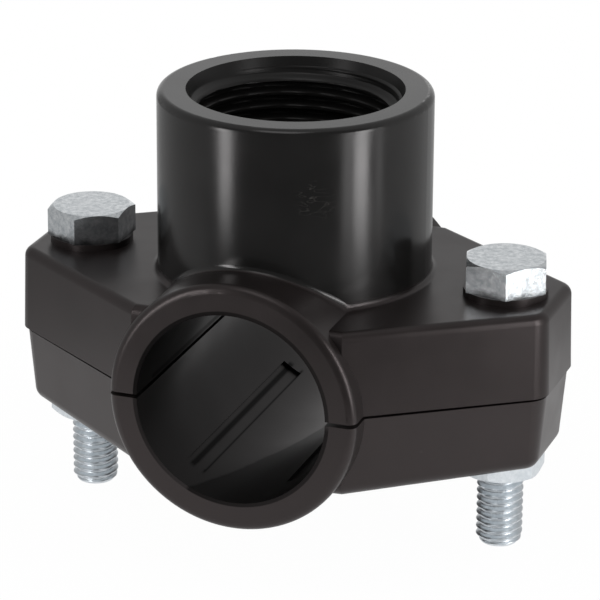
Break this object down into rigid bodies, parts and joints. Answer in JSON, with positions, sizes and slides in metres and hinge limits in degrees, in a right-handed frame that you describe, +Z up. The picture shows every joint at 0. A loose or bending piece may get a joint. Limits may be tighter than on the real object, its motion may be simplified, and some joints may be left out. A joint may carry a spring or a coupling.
{
  "type": "tapping saddle",
  "caption": "Bolted two-part pipe saddle with a round collar that clamps a plastic pipe and an upright threaded socket for a branch line.",
  "frame": {"origin": "where the pipe's axis crosses the branch socket's axis", "axes": "+Y along the pipe, +Z up the branch socket, +X towards the right bolt"},
  "size_m": [0.0716, 0.0466, 0.0579],
  "materials": {
    "saddle_plastic": "satin black",
    "seal_rubber": "matte black",
    "zinc_steel": "bright zinc plated"
  },
  "bodies": {
    "upper_half": {"upper_saddle": "saddle_plastic", "seal_ring": "seal_rubber"},
    "lower_half": {"lower_saddle": "saddle_plastic", "left_nut": "zinc_steel", "right_nut": "zinc_steel"},
    "bolt_left": {"left_bolt": "zinc_steel"},
    "bolt_right": {"right_bolt": "zinc_steel"}
  },
  "joints": [
    {"name": "left_bolt_turn", "type": "hinge", "parent": "upper_half", "child": "bolt_left", "pos_m": [-0.0283, 0, 0.0121], "axis": [0, 0, 1], "range_deg": [0, 3240]},
    {"name": "right_bolt_turn", "type": "hinge", "parent": "upper_half", "child": "bolt_right", "pos_m": [0.0283, 0, 0.0121], "axis": [0, 0, 1], "range_deg": [0, 3240]},
    {"name": "lower_half_drop", "type": "slide", "parent": "upper_half", "child": "lower_half", "axis": [0, 0, -1], "range_m": [0, 0.009]}
  ],
  "couplings": [
    {"joint": "left_bolt_turn", "follows": "lower_half_drop", "rad_per_m": 6283.2},
    {"joint": "right_bolt_turn", "follows": "lower_half_drop", "rad_per_m": 6283.2}
  ]
}
